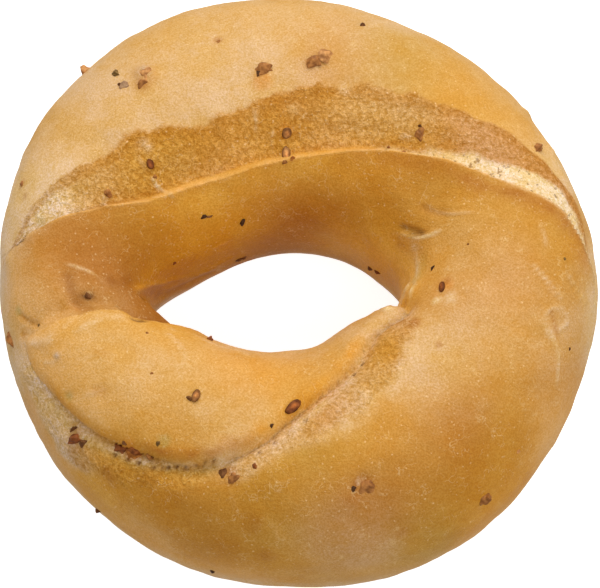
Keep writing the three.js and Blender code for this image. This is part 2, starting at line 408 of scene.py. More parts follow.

# what each place baked to, as (colour, around, over), with painted shade laid into the hole's far wall
skinDabs = [
    # back, from the rim up to the burst
    ("biscuit", 96, 48), ("biscuit", 124, 57), ("cream", 115, 71), ("cream", 105, 80), ("cream", 93, 83),
    ("rose", 80, 78), ("cream", 71, 75), ("olive", 62, 61), ("cream", 138, 60), ("cream", 120, 90),
    ("cream", 105, 95), ("biscuit", 150, 49), ("cream", 146, 77), ("straw", 50, 66), ("biscuit", 43, 36),
    ("straw", 34, 55), ("bisque", 160, 62), ("bisque", 165, 22), ("cream", 135, 22), ("olive", 66, 68),
    ("biscuit", 88, 66), ("cream", 70, 30), ("biscuit", 100, 25), ("biscuit", 58, 52), ("bisque", 22, 48),
    # inside, from the lip down the hole's far wall, browner lower down: partly the crust's own tone and
    # partly painted shade
    ("saffron", 91, 136), ("saffron", 67, 135), ("honey", 48, 125), ("amber", 35, 110), ("straw", 13, 73),
    ("amber", 167, 100), ("gold", 158, 120), ("saffron", 145, 139), ("saffron", 121, 150),
    ("toffee", 89, 158), ("toffee", 59, 158), ("amber", 38, 146), ("gold", 22, 122), ("gold", 14, 101),
    ("gold", 11, 82), ("gold", 10, 59), ("amber", 180, 79), ("toffee", 179, 108), ("amber", 170, 143),
    ("ember", 155, 165), ("ember", 127, 175), ("amber", 90, 190), ("custard", 28, 165),
    ("saffron", 9, 150), ("custard", 12, 172), ("custard", 30, 178), ("apricot", 6, 132),
    ("ember", 165, 196), ("gold", 60, 203), ("saffron", 40, 180), ("ember", 178, 165),
    # the right and the left
    ("biscuit", 1, 105), ("rose", 0, 86), ("gold", 1, 60), ("gold", 348, 119), ("rose", 346, 101),
    ("rose", 348, 82), ("gold", 351, 57), ("bisque", 356, 18), ("cream", 327, 101), ("cream", 332, 90),
    ("straw", 337, 75), ("cream", 342, 52), ("rose", 334, 38), ("cream", 314, 88), ("cream", 321, 82),
    ("gold", 328, 63), ("apricot", 328, 22), ("bisque", 179, 24), ("apricot", 190, 72),
    ("biscuit", 194, 98), ("chestnut", 186, 104), ("toffee", 184, 90), ("bisque", 192, 18),
    ("chestnut", 189, 145), ("apricot", 187, 50),
    # front
    ("straw", 305, 81), ("toffee", 313, 68), ("gold", 321, 50), ("olive", 278, 76), ("straw", 289, 73),
    ("amber", 299, 65), ("amber", 307, 53), ("gold", 315, 35), ("saffron", 229, 12), ("gold", 238, 34),
    ("amber", 247, 46), ("gold", 257, 54), ("gold", 268, 59), ("amber", 277, 58), ("toffee", 286, 53),
    ("amber", 295, 46), ("gold", 303, 34), ("honey", 311, 10), ("apricot", 240, 4), ("gold", 249, 22),
    ("amber", 257, 31), ("olive", 266, 35), ("rose", 275, 36), ("rose", 283, 33), ("olive", 293, 23),
    ("apricot", 258, 354), ("straw", 268, 15), ("straw", 280, 356), ("apricot", 214, 2), ("ash", 280, 27),
]
burstDabs = [
    ("rose", 92, 100), ("gold", 80, 98), ("biscuit", 66, 94), ("biscuit", 55, 86), ("rose", 38, 78),
    ("rose", 25, 54), ("gold", 138, 93), ("gold", 126, 105), ("apricot", 110, 110), ("saffron", 92, 117),
    ("apricot", 73, 117), ("straw", 58, 110), ("gold", 46, 98), ("biscuit", 156, 84), ("gold", 149, 104),
    ("straw", 134, 118), ("apricot", 115, 125), ("crumb", 168, 66), ("bisque", 173, 52),
    ("gold", 103, 105), ("gold", 118, 105), ("amber", 88, 100),
]
lapDabs = [
    ("apricot", 200, 60), ("biscuit", 205, 82), ("straw", 211, 106), ("straw", 219, 130),
    ("apricot", 206, 47), ("biscuit", 215, 72), ("cream", 223, 90), ("biscuit", 234, 102),
    ("honey", 249, 118), ("honey", 269, 124), ("gold", 288, 122), ("biscuit", 303, 125),
    ("straw", 229, 72), ("biscuit", 241, 88), ("cream", 254, 94), ("straw", 266, 92),
    ("apricot", 216, 55), ("gold", 240, 70), ("cream", 330, 138), ("cream", 250, 145),
    ("cream", 290, 145), ("toffee", 215, 180), ("gold", 335, 165), ("amber", 280, 195),
]
bedDabs = [
    ("rose", 282, 94), ("cream", 294, 91), ("biscuit", 272, 89), ("biscuit", 303, 99), ("gold", 312, 109),
    ("straw", 322, 118), ("amber", 332, 113), ("biscuit", 258, 72), ("straw", 246, 57), ("gold", 235, 48),
    ("straw", 226, 36), ("bisque", 218, 26), ("bisque", 208, 22), ("biscuit", 263, 71),
    ("bisque", 338, 124),
]
washes = {
    "skinReach": 7,      # mm over which one dab runs into the next
    "burstReach": 6,
    "lapReach": 6.5,
    "bedReach": 5,
    "wall": 0.55,        # the outer wall is paler below this height, fully so after the fade
    "wallTop": 17,
    "wallOver": 200,     # from here over the rope, so not in the hole
    "wallFade": 10,
    "foot": 0.5,         # and the foot is browner
    "footTop": 5,
    "edge": 0.5,         # the burst is browner where the skin parted
    "edgeOver": 9,
    "edgeFade": 6,
    "crumb": 0.9,
}


def colourOf(name):
    return np.array(toLinear(crustColours[name])[:3])


def washOf(dabs, reach):
    least = 1e-7  # far from every dab, the wash is their mean
    total = np.zeros(len(plain))
    wash = np.zeros((len(plain), 3))
    for name, a, o in dabs:
        weight = np.exp(-((plain - ropePoint(a, o)[0]) ** 2).sum(1) / reach ** 2) + least
        wash += weight[:, None] * colourOf(name)
        total += weight
    return wash / total[:, None]


def blend(paint, colour, mask):
    return paint + (colour - paint) * np.clip(mask, 0, 1)[:, None]


paint = washOf(skinDabs, washes["skinReach"])
wall = smoothStep(washes["wallTop"] - plain[:, 2], 0, washes["wallFade"]) * (over > washes["wallOver"])
paint = blend(paint, colourOf("bisque"), washes["wall"] * wall)
foot = smoothStep(washes["footTop"] - plain[:, 2], 0, washes["footTop"])
paint = blend(paint, colourOf("toffee"), washes["foot"] * foot)
paint = blend(paint, washOf(bedDabs, washes["bedReach"]), inBed)
paint = blend(paint, washOf(burstDabs, washes["burstReach"]), inBurst)
edge = smoothStep(overAt(burst, around) + washes["edgeOver"] - over, 0, washes["edgeFade"])
paint = blend(paint, colourOf("amber"), washes["edge"] * inBurst * edge)
paint = blend(paint, colourOf("crumb"), washes["crumb"] * inCrumb)
paint = np.where(onLap[:, None], washOf(lapDabs, washes["lapReach"]), paint)
print("washes done")

# strokes on the crust, as (colour, strength, half width mm, height mm, places)
strokes = [
    # the torn edge of the skin is a pale line, with the skin inside it browner
    ("toffee", 0.55, 1.8, 0.0, [(-2, 34), (3, 42), (9, 56), (13, 68), (17, 82), (22, 91), (31, 99)]),
    ("toffee", 0.35, 1.5, 0.0, [(31, 99), (45, 112), (66, 125)]),
    ("amber", 0.3, 1.2, 0.0, [(80, 130), (100, 132), (124, 132), (150, 121), (162, 103), (169, 83)]),
    ("apricot", 0.8, 0.4, 0.15, lipLine[4:-1]),
    ("bisque", 0.5, 0.35, 0.0, lipLine[1:8]),
    # crease and pit beside the lap's side, darkened with painted shade, with small pale ticks
    ("chestnut", 0.45, 1.0, -0.35, [
        (182.5, 88), (186.5, 87), (190.5, 87), (193, 89.5), (194, 92), (193.5, 96)]),
    ("pitShade", 0.8, 0.7, -0.6, [(190, 92), (191, 95), (190, 98)]),
    ("amber", 0.6, 1.1, 0.0, [(187, 76), (191, 78), (194, 80)]),
    ("toffee", 0.7, 0.6, -0.3, [(191, 84), (193, 86), (195, 88)]),
    ("amber", 0.6, 0.6, -0.3, [(190, 42), (193, 48), (194.5, 55)]),
    ("amber", 0.5, 0.9, -0.2, [(194, 36), (195, 42), (195.5, 48)]),
    ("bisque", 0.55, 0.9, 0.2, [(197, 40), (198, 48), (199.5, 56), (200, 64)]),
    ("bisque", 0.5, 0.8, 0.2, [(201, 78), (200, 88), (200, 98), (201, 108)]),
    # torn shelf low on the hole's wall at the left, and painted shade in the hollow under it and in its pits
    ("toffee", 0.6, 1.3, -0.4, [(184, 152), (177, 172), (170, 186), (161, 190), (150, 191), (138, 191)]),
    ("honey", 0.85, 0.45, 0.5, [(185, 140), (179, 157), (174, 166), (168, 176), (161, 180.5), (157, 183)]),
    ("pitShade", 0.95, 0.45, -0.6, [(187, 148), (186, 151), (185, 153)]),
    ("ember", 0.7, 0.4, 0.3, [(157, 183), (148, 184.5), (138, 184), (126, 184.5)]),
    ("ember", 0.45, 1.8, 0.0, [(178, 150), (168, 166), (154, 174), (140, 177)]),
    ("chestnut", 0.4, 1.5, 0.0, [(186, 112), (184, 126), (180, 142)]),
    ("bisque", 0.5, 0.3, 0.1, [(181, 88), (182, 96), (183.5, 104), (186, 110)]),
    ("apricot", 0.6, 0.35, 0.2, [(142, 168.5), (135.5, 167.5), (130.5, 168)]),
    ("pitShade", 0.75, 0.5, -0.5, [(201.5, 110), (203.5, 113), (203, 119)]),
    ("pitShade", 0.8, 0.5, -0.1, [(125, 189), (121, 190), (116, 191)]),
    # folds and wrinkles on the lap beside the hole
    ("bisque", 0.45, 0.35, 0.18, [(202.5, 123), (208, 126), (214, 126.5)]),
    ("bisque", 0.55, 0.4, 0.18, [(212.5, 120), (220, 118), (226, 114), (230.5, 108)]),
    ("bisque", 0.45, 0.4, 0.18, [(217, 136), (229, 137.5), (246, 141), (254, 133)]),
    ("bisque", 0.5, 0.3, 0.12, [(216, 60), (217, 64), (218, 70)]),
    ("bisque", 0.5, 0.35, 0.12, [(203, 47), (204, 52), (205, 56)]),
    # folds at the right of the hole, with painted shade in their creases
    ("bisque", 0.5, 0.3, 0.15, [(22.5, 118), (19, 116.5), (16, 110), (14, 100)]),
    ("toffee", 0.35, 0.8, -0.3, [(24, 121), (20.5, 119.5), (17, 113)]),
    ("crumb", 0.65, 0.35, 0.25, [(20, 143), (15.5, 138), (13, 130), (12.5, 120)]),
    ("pitShade", 0.6, 0.6, -0.5, [(23, 139), (19, 136), (14, 131)]),
    ("deepShade", 0.7, 0.35, -0.2, [(18, 138), (16.5, 137), (15, 135.5)]),
    ("toffee", 0.5, 1.2, 0.0, [(20, 150), (14, 146), (8, 138)]),
    ("crumb", 0.75, 0.55, 0.15, [(14, 141), (9, 143.5), (4, 145), (-2.5, 145), (-11, 140)]),
    ("olive", 0.6, 1.6, 0.0, [(9, 140), (3, 142), (-4, 147)]),
    ("crumb", 0.5, 1.6, 0.0, [(-2, 150), (-6, 155), (-9, 160)]),
    ("crumb", 0.75, 0.8, 0.0, [(-21, 138), (-18, 144), (-17, 150)]),
    # long wrinkles in the skin at the right, with painted shade along one groove
    ("bisque", 0.8, 0.35, 0.3, [(357, 74.5), (353.5, 64), (350.5, 53)]),
    ("bisque", 0.7, 0.35, 0.3, [(357, 53), (354.5, 43), (352.5, 31)]),
    ("bisque", 0.65, 0.4, 0.3, [(345, 62), (343.5, 58.5), (340.5, 46), (337, 39), (333.5, 33)]),
    ("bisque", 0.6, 0.4, 0.25, [(344.5, 60), (347.5, 58), (348.5, 50), (346.5, 44), (343.5, 49)]),
    ("toffee", 0.4, 0.4, -0.12, [(348, 59), (345, 53), (342, 46)]),
    ("bisque", 0.4, 0.4, 0.15, [(8, 70), (5, 68), (2, 67)]),
    # folds in the burst
    ("bisque", 0.7, 0.3, 0.3, [(158.3, 95.7), (160, 97.5), (161.5, 100.5)]),
    ("crumb", 0.75, 0.35, 0.35, [(144.5, 109), (145.5, 114), (145, 119), (144, 124)]),
    ("biscuit", 0.5, 0.4, 0.25, [(142.5, 96), (143.5, 101.5), (143.5, 107)]),
    ("bisque", 0.5, 0.3, 0.2, [(101, 103), (100.5, 108), (101, 113)]),
    ("bisque", 0.45, 0.3, 0.2, [(94, 113), (94.5, 118), (94, 123)]),
    # hair wrinkles on the back and front
    ("bisque", 0.4, 0.3, 0.12, [(75.5, 61), (75.5, 69), (74.5, 75)]),
    ("bisque", 0.4, 0.3, 0.12, [(71.5, 38), (72.5, 45), (74, 55.5)]),
    ("biscuit", 0.5, 0.3, 0.1, [(255.5, 56), (257, 49.5), (258, 43.5)]),
    ("biscuit", 0.5, 0.3, 0.1, [(265, 41.5), (266, 35.5), (267.5, 26.5)]),
    ("biscuit", 0.4, 0.3, 0.1, [(265, 61.5), (267.5, 63.5), (270.5, 65.5)]),
    # the lap's edge: an orange line, partly baked colour and partly painted glow of light through the crust,
    # then a pale porous strip at its foot
    ("honey", 0.7, 1.1, 0.0, [(204, 41), (212, 44), (220, 48), (230, 56), (238, 63), (247, 69)]),
    ("toffee", 0.6, 1.0, 0.0, [(232, 58), (240, 64), (248, 70), (256, 80), (263, 88)]),
    ("honey", 0.6, 1.3, 0.0, [(256, 80), (263, 89), (272, 99), (285, 111), (302, 122), (320, 132)]),
    ("moss", 0.45, 1.3, 0.0, [(205, 30), (214, 34), (224, 40), (236, 50.5), (248, 60.5), (253, 67)]),
    ("bisque", 0.6, 0.8, 0.0, [(208, 33), (222, 40), (234, 50), (242, 57), (250, 66)]),
    ("crumb", 0.55, 1.0, 0.0, [(252, 68), (256, 73)]),
    ("bisque", 0.6, 1.2, 0.0, [(262, 77), (272, 90), (286, 103), (300, 114), (318, 125), (334, 129)]),
    ("bisque", 0.5, 1.5, 0.0, [(276, 84), (288, 88), (302, 94), (314, 100), (326, 108)]),
]
strokeForm = {
    "taper": 0.15,   # either end fades over this share of the stroke,
    "tip": 0.25,     # to this strength
    "reach": 3,      # a stroke is felt this many half widths out
    "spacing": 0.4,  # of its points, in half widths
    "ragged": 0.9,   # its strength wanders with the skin's unevenness
}
for name, strength, width, rise, places in strokes:
    run = np.linalg.norm(np.diff(ropePoint(*np.array(places, float).T), axis=0), axis=1).sum()
    line = drawLine(places, count=int(run / (strokeForm["spacing"] * width)) + 8)
    away, share = reachLine(line, strokeForm["reach"] * width)
    ends = np.minimum(1, np.minimum(share, 1 - share) / strokeForm["taper"] + strokeForm["tip"])
    touch = np.exp(-(away / width) ** 2) * ends
    height += rise * touch
    paint = blend(paint, colourOf(name), strength * touch * strokeForm["ragged"] * (1 + smallNoise))

# the row of small pores along the foot of the lap, each dark with painted shade
pores = {
    "colour": "pitShade", "strength": 0.8, "radius": 0.42, "depth": 0.35,
    "places": [
        (238, 50.5), (239.7, 52.5), (240.9, 54.5), (242.6, 57), (244.7, 58.7), (247, 63), (248.9, 66.5),
        (250.8, 68.6), (232, 46), (234.5, 48), (229, 43), (266, 84), (276, 93), (262, 78), (300, 113),
        (306, 117),
    ],
}
pore = (pores["colour"], pores["strength"], pores["radius"], -pores["depth"])
spots = [(*pore, a, o) for a, o in pores["places"]]

# round touches, as (colour, strength, radius mm, height mm, around, over)
spots += [
    ("cream", 0.0, 5.0, 0.8, 350, 152), ("moss", 0.6, 1.5, 0.0, 170, 66),
    ("bisque", 0.8, 1.8, 0.2, 172, 58), ("bisque", 0.7, 2.0, 0.1, 167, 72),
    ("ash", 0.8, 1.6, 0.3, 81.5, 81), ("rose", 0.6, 2.0, 0.3, 82, 81), ("toffee", 0.7, 1.3, 0.2, 84, 84),
    ("rose", 0.7, 2.6, 0.4, 127, 71), ("ash", 0.85, 1.6, 0.4, 126.5, 70),
    ("toffee", 0.8, 1.3, 0.1, 128.5, 74.5), ("straw", 0.6, 1.8, 0.2, 97, 89),
    ("glow", 0.6, 1.7, 0.1, 97.5, 92), ("glow", 0.5, 1.6, 0.1, 88.2, 114),
    # two blisters, each a brown dimple with a small pale spot on its upper side, which is a painted
    # highlight
    ("toffee", 0.8, 1.8, -0.45, 255, 62.5), ("bisque", 0.5, 0.7, 0.2, 256, 65),
    ("toffee", 0.85, 1.9, -0.5, 285, 58.8), ("bisque", 0.7, 0.5, 0.25, 284.5, 61.3),
    ("toffee", 0.4, 2.2, 0.0, 282, 56), ("toffee", 0.35, 1.8, 0.0, 264, 19),
    ("toffee", 0.35, 1.3, -0.1, 290, 26.5), ("bisque", 0.4, 0.5, 0.1, 290, 25),
    ("moss", 0.7, 1.2, -0.2, 238, 68), ("rose", 0.4, 1.3, -0.1, 253, 80),
    ("toffee", 0.3, 2.0, 0.0, 261, 40), ("toffee", 0.6, 1.3, -0.3, 218, 66.5),
    ("moss", 0.6, 1.0, -0.3, 213, 50), ("rose", 0.45, 1.3, 0.1, 209.5, 83),
    ("ash", 0.8, 0.8, 0.25, 204, 59.5), ("glow", 0.8, 1.7, 0.1, 350, 117),
    ("toffee", 0.6, 0.9, 0.0, 352, 117), ("crumb", 0.8, 0.9, 0.25, 344, 114),
    ("toffee", 0.6, 0.9, -0.25, 107.5, 68), ("bisque", 0.7, 0.8, 0.2, 48, 99),
    ("amber", 0.6, 2.2, 0.0, 331, 117), ("toffee", 0.6, 1.2, 0.0, 332, 112),
    ("amber", 0.8, 1.4, 0.0, 345, 146), ("toffee", 0.5, 1.0, 0.1, 161, 40),
    ("toffee", 0.5, 0.8, 0.0, 164, 46), ("cream", 0.2, 1.8, 0.5, 37.5, 25),
    ("cream", 0.2, 1.8, 0.4, 28, 30), ("bisque", 0.5, 1.3, 0.0, 73, 92),
    ("crumb", 0.5, 1.3, 0.1, 139, 96), ("bisque", 0.4, 1.6, 0.0, 87, 104),
    ("moss", 0.6, 0.9, 0.0, 189.5, 42), ("glow", 0.9, 1.8, 0.2, 231.5, 53),
    ("toffee", 0.5, 1.5, 0.1, 219, 33), ("bisque", 0.7, 1.3, 0.1, 345, 108),
    ("toffee", 0.55, 0.7, 0.0, 327, 94), ("gold", 0.6, 1.3, 0.0, 300, 91),
    ("rose", 0.5, 1.4, 0.0, 352, 60), ("toffee", 0.45, 2.2, 0.0, 230, 30),
    ("amber", 0.5, 2.6, 0.0, 222, 24), ("amber", 0.45, 2.5, 0.0, 238, 42),
]
spotForm = {"reach": 2.5, "ragged": 0.9, "most": 1.2}
for name, strength, radius, rise, a, o in spots:
    away = reachPoint((a, o), spotForm["reach"] * radius)
    uneven = np.clip(spotForm["ragged"] + smallNoise, 0, spotForm["most"])
    touch = np.exp(-(away / radius) ** 3) * uneven
    height += rise * touch
    paint = blend(paint, colourOf(name), strength * touch)
print("painting done")

footFade = smoothStep(plain[:, 2], 0, lapForm["floor"])
final = plain + normal * (height * footFade)[:, None]
final[:, 2] = np.maximum(final[:, 2], 0)
onTable = plain[:, 2] == 0
final[onTable] = plain[onTable]
bagel.data.vertices.foreach_set("co", (final / 1000).ravel())
bagel.data.update()
bpy.ops.object.shade_smooth()
crustPaint = bagel.data.color_attributes.new("crustPaint", "FLOAT_COLOR", "POINT")
opaque = np.column_stack([paint, np.ones(len(paint))])
crustPaint.data.foreach_set("color", opaque.astype(np.float32).ravel())
for name, mask in (("torn", torn), ("bareCrumb", inCrumb)):
    layer = bagel.data.attributes.new(name, "FLOAT", "POINT")
    layer.data.foreach_set("value", mask.astype(np.float32))
print("crust shaped")


# The skin's grain is taken as 0.1 to 0.2 mm, too fine to show, so it is drawn coarser, at 0.36 mm. The
# hair cracks are drawn about 0.2 mm wide for the same reason. The other sizes are estimated real ones.
crustFinish = {
    # (texture, size mm, its settings, low, high): a pattern runs from 0 at low to 1 at high
    "patterns": {
        "patches": ("Noise", 10, {"Detail": 8.0, "Roughness": 0.72}, 0.41, 0.59),
        "grain": ("Noise", 0.36, {"Detail": 2.0, "Roughness": 0.75}, 0.37, 0.63),
        "grit": ("Noise", 0.75, {"Detail": 3.0, "Roughness": 0.75}, 0.36, 0.62),
        "blisters": ("Voronoi", 1.2, {"Randomness": 1.0}, 0.2, 0.08),
        "hairs": ("Voronoi", 2.8, {"feature": "DISTANCE_TO_EDGE"}, 0.035, 0.0),
        "hairParts": ("Noise", 3, {"Detail": 2.0}, 0.5, 0.62),
        "crumbPores": ("Noise", 1.1, {"Detail": 2.0, "Roughness": 0.6}, 0.40, 0.33),
    },
    "curlSize": 2.2,    # the hair cracks curl by this size and reach, in mm
    "curlReach": 5,
    # a tint multiplies the colour by its first factor where the pattern is 0 and by its last where it is 1
    # a cover lays its colour on where both of its patterns are, at the given strength
    "layers": [
        {"by": "patches", "tint": ((0.97, 0.91, 0.68), (1.03, 1.07, 1.26))},
        {"by": "grain", "tint": ((0.92, 0.86, 0.62), (1.08, 1.15, 1.38))},
        {"by": "blisters", "and": "grain", "strength": 0.55, "cover": "#efcf9a"},
        {"by": "hairs", "and": "hairParts", "strength": 0.38, "cover": "#ecc98f"},
        {"by": "grit", "within": "torn", "tint": ((0.8, 0.69, 0.40), (1.18, 1.25, 1.6))},
        # the dark laid in the bare crumb's pores is painted shade
        {"by": "crumbPores", "and": "bareCrumb", "strength": 0.7, "cover": "#8a5a26"},
    ],
    "skinBump": {"Strength": 0.35, "Distance": 0.0002},
    "tornBump": {"Strength": 0.6, "Distance": 0.0003},
    "skinRoughness": 0.5,
    "tornRoughness": 0.8,
    "specular": 0.12,
}


def bakedCrust():
    # wheat crust, boiled and baked: a satin skin with fine pale blisters, coarse and dull where it tore
    material = bpy.data.materials.new("bakedCrust")
    material.use_nodes = True
    tree = material.node_tree
    shader = tree.nodes["Principled BSDF"]
    place = addNode(tree, "ShaderNodeTexCoord").outputs["Object"]
    curl = addNode(tree, "ShaderNodeTexNoise", {"Scale": perMetre(crustFinish["curlSize"]), "Detail": 2.0},
                   {"Vector": place})
    settings = {"operation": "MULTIPLY_ADD", 1: (crustFinish["curlReach"] / 1000,) * 3}
    curled = addNode(tree, "ShaderNodeVectorMath", settings, {0: curl.outputs["Color"], 2: place})

    marks = {}
    for name in ("torn", "bareCrumb"):
        marks[name] = addNode(tree, "ShaderNodeAttribute", {"attribute_name": name}).outputs["Fac"]
    for name, (texture, sizeMm, settings, low, high) in crustFinish["patterns"].items():
        where = curled.outputs["Vector"] if name == "hairs" else place
        settings = {"Scale": perMetre(sizeMm), **settings}
        pattern = addNode(tree, "ShaderNodeTex" + texture, settings, {"Vector": where})
        value = pattern.outputs["Distance" if texture == "Voronoi" else "Fac"]
        limits = {"From Min": low, "From Max": high}
        marks[name] = addNode(tree, "ShaderNodeMapRange", limits, {"Value": value}).outputs["Result"]

    colour = addNode(tree, "ShaderNodeAttribute", {"attribute_name": "crustPaint"}).outputs["Color"]
    for layer in crustFinish["layers"]:
        if "tint" in layer:
            first, last = layer["tint"]
            settings = {"data_type": "RGBA", mixFirst: (*first, 1), mixSecond: (*last, 1)}
            factor = addNode(tree, "ShaderNodeMix", settings, {mixShare: marks[layer["by"]]})
            settings = {"data_type": "RGBA", "blend_type": "MULTIPLY", mixShare: 1.0}
            links = {mixFirst: colour, mixSecond: factor.outputs[mixed]}
            if "within" in layer:
                links[mixShare] = marks[layer["within"]]
        else:
            both = addNode(tree, "ShaderNodeMath", {"operation": "MULTIPLY"},
                           {0: marks[layer["by"]], 1: marks[layer["and"]]})
            amount = addNode(tree, "ShaderNodeMath", {"operation": "MULTIPLY", 1: layer["strength"]},
                             {0: both.outputs["Value"]})
            settings = {"data_type": "RGBA", mixSecond: toLinear(layer["cover"])}
            links = {mixShare: amount.outputs["Value"], mixFirst: colour}
        colour = addNode(tree, "ShaderNodeMix", settings, links).outputs[mixed]
    tree.links.new(colour, shader.inputs["Base Color"])

    skinBump = addNode(tree, "ShaderNodeBump", crustFinish["skinBump"], {"Height": marks["grain"]})
    tornGrit = addNode(tree, "ShaderNodeMath", {"operation": "MULTIPLY"},
                       {0: marks["grit"], 1: marks["torn"]})
    tornBump = addNode(tree, "ShaderNodeBump", crustFinish["tornBump"],
                       {"Height": tornGrit.outputs["Value"], "Normal": skinBump.outputs["Normal"]})
    tree.links.new(tornBump.outputs["Normal"], shader.inputs["Normal"])
    limits = {"To Min": crustFinish["skinRoughness"], "To Max": crustFinish["tornRoughness"]}
    gloss = addNode(tree, "ShaderNodeMapRange", limits, {"Value": marks["torn"]})
    tree.links.new(gloss.outputs["Result"], shader.inputs["Roughness"])
    shader.inputs["Specular IOR Level"].default_value = crustFinish["specular"]
    return material


bagel.data.materials.clear()
bagel.data.materials.append(bakedCrust())
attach(bagel, "root")
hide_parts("bagel")
print("crust done")

# bits of toasted onion and a few seeds, baked into the crust
fleckForm = {
    "lift": 0.15,                         # a fleck's middle stands this share of its rise above the crust
    "deepness": 1.6,                      # its whole height, as a share of what shows
    "lumps": {"chip": 0.4, "seed": 0.12},
    "lumpsAcross": 3.1,
}
fleckTones = {
    "umber": "#6e4420", "rust": "#84481c", "toast": "#9c6530", "tan": "#b98148", "char": "#4d3018",
    "olive": "#7a5c2c", "grey": "#a37f5c", "caramel": "#b26e2a",
}
# as (shape, tone, around, over, length, width, rise, turn), in mm and degrees, turned from the right
flecks = [
    ("chip", "tan", 133, 21, 2.3, 1.8, 1.5, 60), ("chip", "olive", 131.3, 56.5, 1.6, 1.3, 0.6, 110),
    ("chip", "umber", 131.0, 58.5, 0.8, 0.6, 0.4, 20), ("chip", "grey", 131.8, 67.6, 2.1, 1.6, 0.7, 10),
    ("chip", "umber", 132.3, 66.2, 0.8, 0.6, 0.4, 60), ("chip", "toast", 128.6, 74.3, 2.0, 1.3, 0.5, 30),
    ("chip", "tan", 126.8, 70, 2.6, 2.2, 0.5, 70), ("seed", "rust", 142, 104, 2.0, 1.4, 0.7, 110),
    ("chip", "toast", 143.6, 110, 0.8, 0.8, 0.4, 0), ("chip", "toast", 157.6, 97, 1.6, 1.2, 0.5, 120),
    ("chip", "toast", 107.2, 69.4, 1.0, 0.7, 0.3, 80), ("chip", "toast", 97, 87.4, 3.0, 2.4, 0.8, 20),
    ("chip", "char", 98.2, 90, 1.1, 0.9, 0.6, 40), ("chip", "toast", 83.6, 83.5, 2.6, 2.0, 0.5, 10),
    ("chip", "tan", 81, 81, 3.0, 2.4, 0.5, 60), ("chip", "umber", 75.5, 54.3, 1.1, 0.9, 0.5, 20),
    ("seed", "toast", 88.3, 114.5, 2.1, 1.8, 0.8, 80), ("seed", "tan", 88, 125, 2.9, 1.5, 0.9, 95),
    ("chip", "toast", 87.8, 129, 1.0, 0.8, 0.5, 0), ("chip", "caramel", 84.5, 126.5, 0.9, 0.6, 0.4, 30),
    ("chip", "toast", 45.7, 94.6, 2.6, 1.8, 0.7, 70), ("chip", "umber", 47, 92, 0.7, 0.6, 0.4, 0),
    ("chip", "toast", 44, 106, 1.0, 0.7, 0.4, 20), ("chip", "toast", 50, 108, 0.6, 0.5, 0.3, 0),
    ("chip", "toast", 27, 46.5, 2.0, 1.7, 1.0, 30), ("chip", "char", 138.1, 143.8, 1.2, 0.9, 0.5, 10),
    ("chip", "umber", 135, 145.3, 1.3, 0.5, 0.3, 170), ("chip", "char", 116, 158.2, 1.7, 0.9, 0.5, 90),
    ("chip", "char", 0.3, 133, 1.2, 0.6, 0.3, 25), ("seed", "rust", 350.1, 118, 2.3, 1.2, 0.6, 95),
    ("chip", "umber", 26.2, 186.3, 1.1, 0.9, 0.5, 30), ("chip", "rust", 21.3, 184.4, 1.3, 0.8, 0.5, 150),
    ("chip", "toast", 192.8, 20.3, 3.2, 1.5, 0.9, 95), ("seed", "toast", 240.2, 94.1, 2.6, 1.4, 0.8, 70),
    ("chip", "umber", 239, 91.4, 1.5, 0.8, 0.5, 150), ("seed", "rust", 272.4, 99.6, 3.6, 1.7, 0.8, 42),
    ("chip", "char", 265.3, 90.7, 0.8, 0.6, 0.3, 60), ("chip", "rust", 219.6, 32, 2.8, 1.7, 0.9, 5),
    ("chip", "umber", 221.3, 34, 1.7, 1.2, 0.7, 40), ("chip", "umber", 218, 34.6, 1.5, 0.6, 0.4, 20),
    ("chip", "rust", 228.8, 47.8, 2.7, 1.9, 0.8, 150), ("chip", "umber", 230, 54.5, 0.9, 0.8, 0.5, 0),
    ("chip", "rust", 232.9, 53.5, 2.5, 1.6, 0.8, 60),
    ("chip", "caramel", 231.4, 50.5, 2.8, 2.0, 0.7, 120), ("chip", "toast", 236, 55, 1.4, 1.0, 0.5, 20),
    ("chip", "olive", 237, 66, 0.9, 0.7, 0.3, 40), ("chip", "umber", 253.4, 63.8, 1.9, 1.4, 0.6, 60),
    ("chip", "toast", 256, 62, 2.2, 1.7, 0.4, 20), ("chip", "rust", 260.9, 70.8, 1.2, 0.7, 0.4, 100),
    ("chip", "char", 283.3, 58.4, 1.1, 0.9, 0.4, 50), ("chip", "toast", 285.8, 58.5, 3.0, 2.5, 0.5, 10),
    ("chip", "toast", 307.6, 19.8, 2.9, 1.9, 1.2, 10), ("chip", "umber", 306.4, 20, 1.0, 1.0, 0.6, 0),
    ("chip", "tan", 318, 27.5, 0.9, 0.7, 0.4, 0), ("chip", "char", 253.6, 352, 1.0, 0.7, 0.5, 0),
    ("chip", "umber", 228.3, 349, 1.1, 0.9, 0.7, 150), ("chip", "toast", 224.2, 92.7, 0.6, 0.5, 0.25, 0),
    ("chip", "toast", 210.6, 109, 0.6, 0.5, 0.25, 0), ("chip", "toast", 161.1, 40, 1.1, 0.8, 0.4, 90),
    ("chip", "umber", 122, 189, 1.6, 0.8, 0.4, 20), ("chip", "umber", 118, 189, 1.2, 0.7, 0.4, 20),
    ("chip", "rust", 161.5, 163, 0.7, 0.7, 0.3, 0), ("chip", "rust", 225.8, 144, 1.2, 0.9, 0.8, 10),
    ("chip", "umber", 190.5, 95, 1.5, 0.9, 0.4, 120), ("chip", "olive", 359.8, 54.6, 0.6, 0.5, 0.25, 30),
    ("chip", "char", 341.6, 35.6, 0.7, 0.35, 0.25, 100), ("chip", "toast", 4.3, 108.3, 0.4, 0.4, 0.2, 0),
    ("chip", "olive", 194.3, 54.6, 0.7, 0.6, 0.3, 0),
]


def startPiece(name):
    piece = bpy.context.object
    piece.name = piece.data.name = name
    return piece


